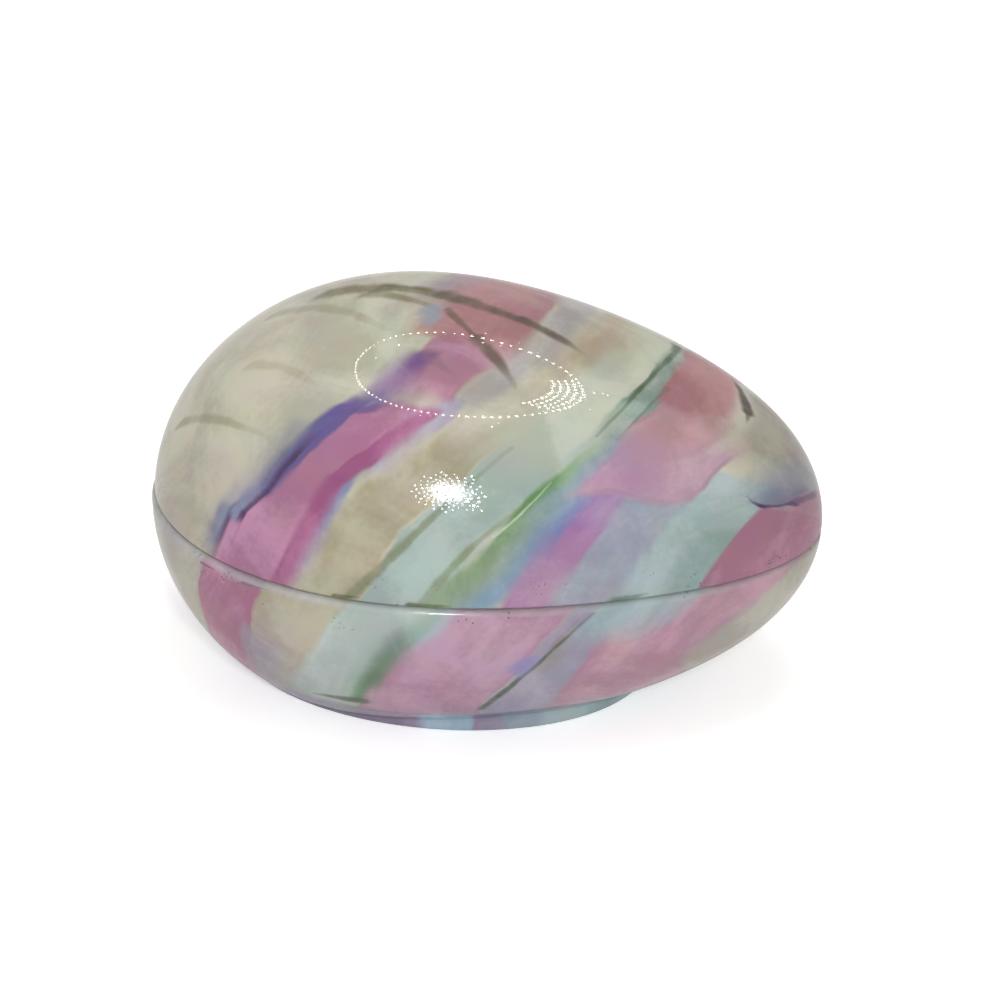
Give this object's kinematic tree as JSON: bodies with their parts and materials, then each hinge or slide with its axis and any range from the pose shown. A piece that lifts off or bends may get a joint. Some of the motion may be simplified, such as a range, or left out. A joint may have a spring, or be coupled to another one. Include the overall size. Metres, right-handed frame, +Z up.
{
  "type": "egg trinket box",
  "caption": "Porcelain egg lying on its side: a hollow base on a low oval foot ring, and a hollow lid that lifts off a collar inside the base's rim.",
  "frame": {"origin": "on the ground, under the middle of the egg's length and width", "axes": "+X along the egg from its blunt end to its pointed end, +Z up"},
  "size_m": [0.1099, 0.0744, 0.066],
  "materials": {
    "base_glaze": "glossy glaze over pastel wash bands, pale wiped rim",
    "lid_glaze": "glossy glaze over pastel wash bands"
  },
  "bodies": {
    "base": {"base": "base_glaze"},
    "lid": {"lid": "lid_glaze"}
  },
  "joints": [
    {"name": "lid_lift", "type": "slide", "parent": "base", "child": "lid", "axis": [0, 0, 1], "range_m": [0, 0.06]}
  ]
}
